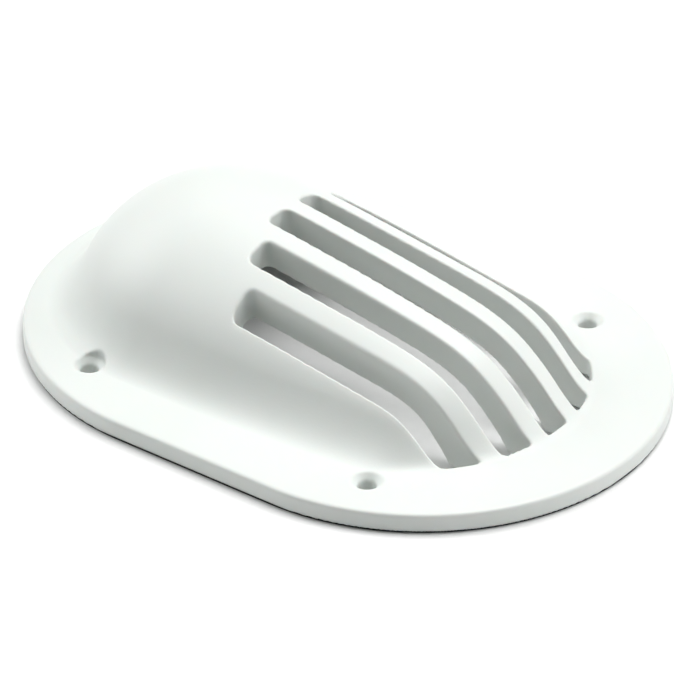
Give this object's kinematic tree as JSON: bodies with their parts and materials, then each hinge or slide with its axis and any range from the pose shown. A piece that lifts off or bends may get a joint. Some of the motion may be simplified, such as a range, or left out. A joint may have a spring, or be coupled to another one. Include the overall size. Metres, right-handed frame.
{
  "type": "slotted cowl vent",
  "caption": "White moulded boat cowl vent: a low dome with long slots over its nose, on a racetrack flange with countersunk screw holes and a foam gasket.",
  "frame": {"origin": "centre of the flange's outline, on the mounting face (the underside of the gasket)", "axes": "+X towards the low front end where the slots run out, +Y across the flange, +Z out of the mounting face, up through the dome"},
  "size_m": [0.165, 0.12, 0.0354],
  "materials": {
    "white_plastic": "satin white injection-moulded plastic, faint moulding texture",
    "black_foam": "matt black closed-cell foam"
  },
  "bodies": {
    "root": {"cowl_moulding": "white_plastic", "flange_gasket": "black_foam"}
  },
  "joints": []
}
